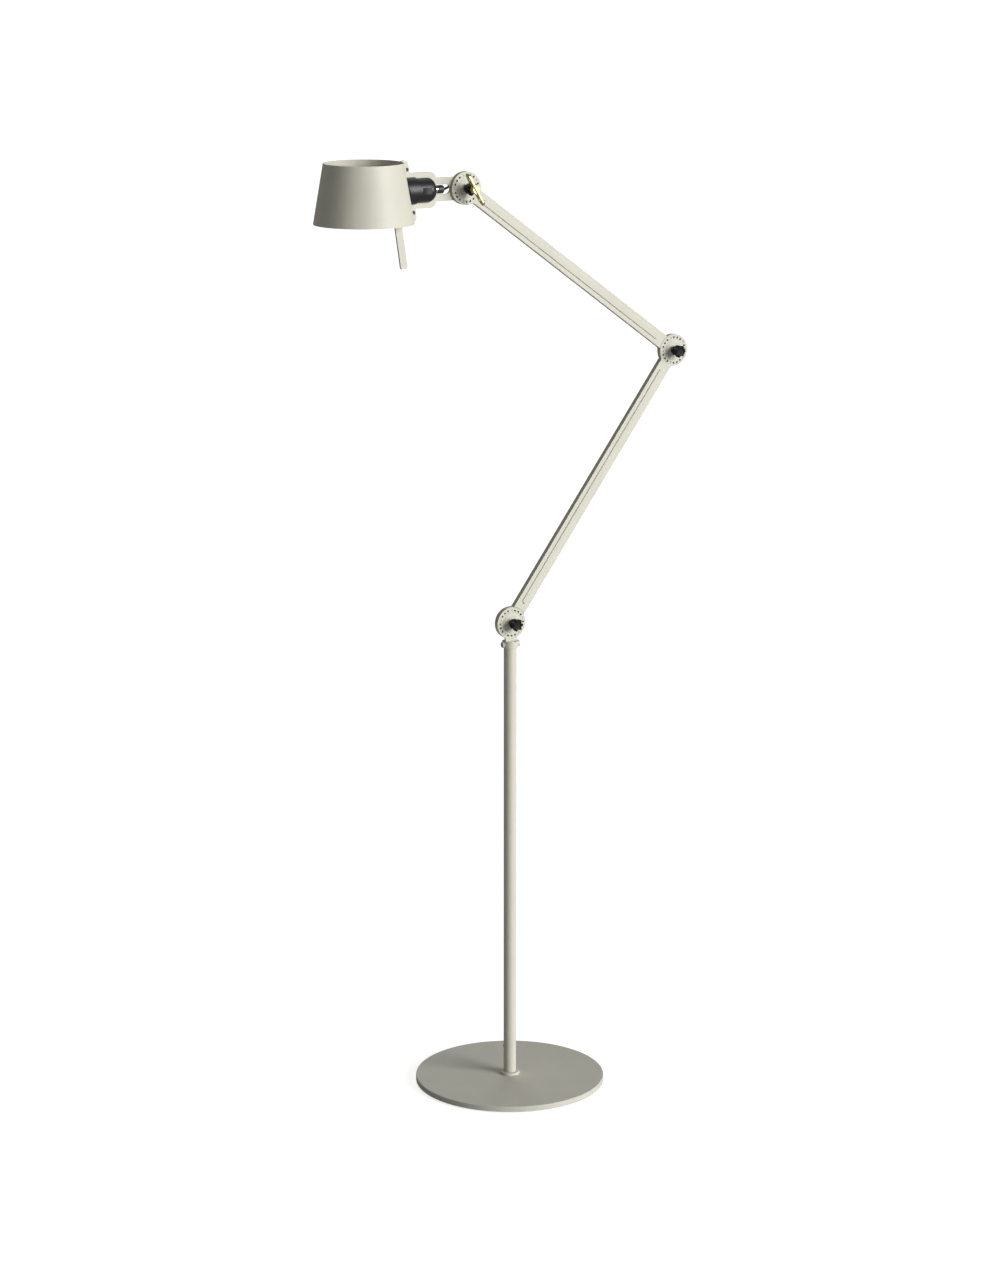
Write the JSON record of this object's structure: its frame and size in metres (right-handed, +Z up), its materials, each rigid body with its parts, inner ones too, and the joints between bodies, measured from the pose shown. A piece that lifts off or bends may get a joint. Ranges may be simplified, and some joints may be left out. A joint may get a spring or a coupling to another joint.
{
  "type": "adjustable arm floor lamp",
  "caption": "Floor lamp with a round base and pole, flat arms folding on clamped disc joints, and a tilting open cone shade held by a side lampholder.",
  "frame": {"origin": "middle of the base's underside, on the floor", "axes": "+Z up along the pole; the arms fold in the XZ plane with the lamp head towards -X at rest; the clamp knobs face -Y"},
  "size_m": [0.6424, 0.3, 1.4703],
  "materials": {
    "frame_paint": "satin warm grey powder coat",
    "base_paint": "satin warm grey powder coat",
    "floor_rubber": "matt black rubber",
    "lead_rubber": "smooth black cable sheath",
    "friction_fibre": "dark fibre washer",
    "knob_plastic": "matt moulded black",
    "black_plastic": "satin moulded black",
    "black_screw": "blackened steel",
    "brass": "polished brass",
    "steel": "zinc plated steel",
    "bright_nipple": "bright nickel",
    "lampholder_core": "glazed insulator",
    "bulb_glass": "opal glass"
  },
  "bodies": {
    "pole": {"base_plate": "base_paint", "base_pad": "floor_rubber", "foot_collar": "frame_paint", "pole_tube": "frame_paint", "pole_plug": "steel", "foot_bolt": "steel", "cord_grommet": "floor_rubber", "pole_clamp": "frame_paint", "clamp_screw": "frame_paint", "pole_lead": "lead_rubber"},
    "neck": {"pole_spigot": "steel", "pole_bracket": "frame_paint", "neck_lead": "lead_rubber", "shoulder_friction_washer": "friction_fibre", "shoulder_index_pins": "frame_paint", "shoulder_cup": "frame_paint", "shoulder_bush": "black_plastic", "shoulder_bolt": "steel", "shoulder_back_washer": "steel"},
    "shoulder_knob": {"shoulder_knob": "knob_plastic"},
    "lower_arm": {"lower_arm": "frame_paint", "lower_lead": "lead_rubber", "lower_clips": "black_plastic", "elbow_friction_washer": "friction_fibre", "elbow_index_pins": "frame_paint", "elbow_cup": "frame_paint", "elbow_bush": "black_plastic", "elbow_bolt": "steel", "elbow_back_washer": "steel"},
    "elbow_knob": {"elbow_knob": "knob_plastic"},
    "upper_arm": {"upper_arm": "frame_paint", "upper_lead": "lead_rubber", "upper_clips": "black_plastic", "head_friction_washer": "friction_fibre", "head_index_pins": "frame_paint", "head_cup": "frame_paint", "head_bush": "black_plastic", "head_bolt": "steel", "head_back_washer": "steel"},
    "head_knob": {"head_knob": "knob_plastic"},
    "wing_nut": {"wing_nut": "brass"},
    "head": {"head_bracket": "frame_paint", "saddle_plate": "frame_paint", "saddle_spacers": "black_plastic", "saddle_rivets": "frame_paint", "ear_screws": "black_screw", "shade": "frame_paint", "handle": "frame_paint", "lampholder_dome": "black_plastic", "lampholder_body": "black_plastic", "lampholder_insert": "lampholder_core", "shade_ring": "black_plastic", "nipple": "bright_nipple", "cord_grip": "lead_rubber", "head_lead": "lead_rubber", "bulb_cap": "steel", "bulb_glass": "bulb_glass"},
    "switch_rocker": {"switch_rocker": "black_plastic"}
  },
  "joints": [
    {"name": "pole_swivel", "type": "hinge", "parent": "pole", "child": "neck", "pos_m": [0, 0, 0.716], "axis": [0, 0, 1], "range_deg": [-165, 165]},
    {"name": "shoulder_fold", "type": "hinge", "parent": "neck", "child": "lower_arm", "pos_m": [0, 0, 0.75], "axis": [0, 1, 0], "range_deg": [-126, 54]},
    {"name": "elbow_fold", "type": "hinge", "parent": "lower_arm", "child": "upper_arm", "pos_m": [0.29389, 0, 1.15451], "axis": [0, 1, 0], "range_deg": [-24, 90]},
    {"name": "head_tilt", "type": "hinge", "parent": "upper_arm", "child": "head", "pos_m": [-0.07826, 0, 1.42489], "axis": [0, 1, 0], "range_deg": [-60, 90]},
    {"name": "shoulder_knob_turn", "type": "hinge", "parent": "neck", "child": "shoulder_knob", "pos_m": [0, 0, 0.75], "axis": [0, 1, 0], "continuous": true},
    {"name": "elbow_knob_turn", "type": "hinge", "parent": "lower_arm", "child": "elbow_knob", "pos_m": [0.29389, 0, 1.15451], "axis": [0, 1, 0], "continuous": true},
    {"name": "head_knob_turn", "type": "hinge", "parent": "upper_arm", "child": "head_knob", "pos_m": [-0.07826, 0, 1.42489], "axis": [0, 1, 0], "continuous": true},
    {"name": "wing_nut_turn", "type": "hinge", "parent": "upper_arm", "child": "wing_nut", "pos_m": [-0.07826, 0, 1.42489], "axis": [0, 1, 0], "continuous": true},
    {"name": "switch_rock", "type": "hinge", "parent": "head", "child": "switch_rocker", "pos_m": [-0.15126, -0.01405, 1.42489], "axis": [0, 0, 1], "range_deg": [0, 16]}
  ]
}
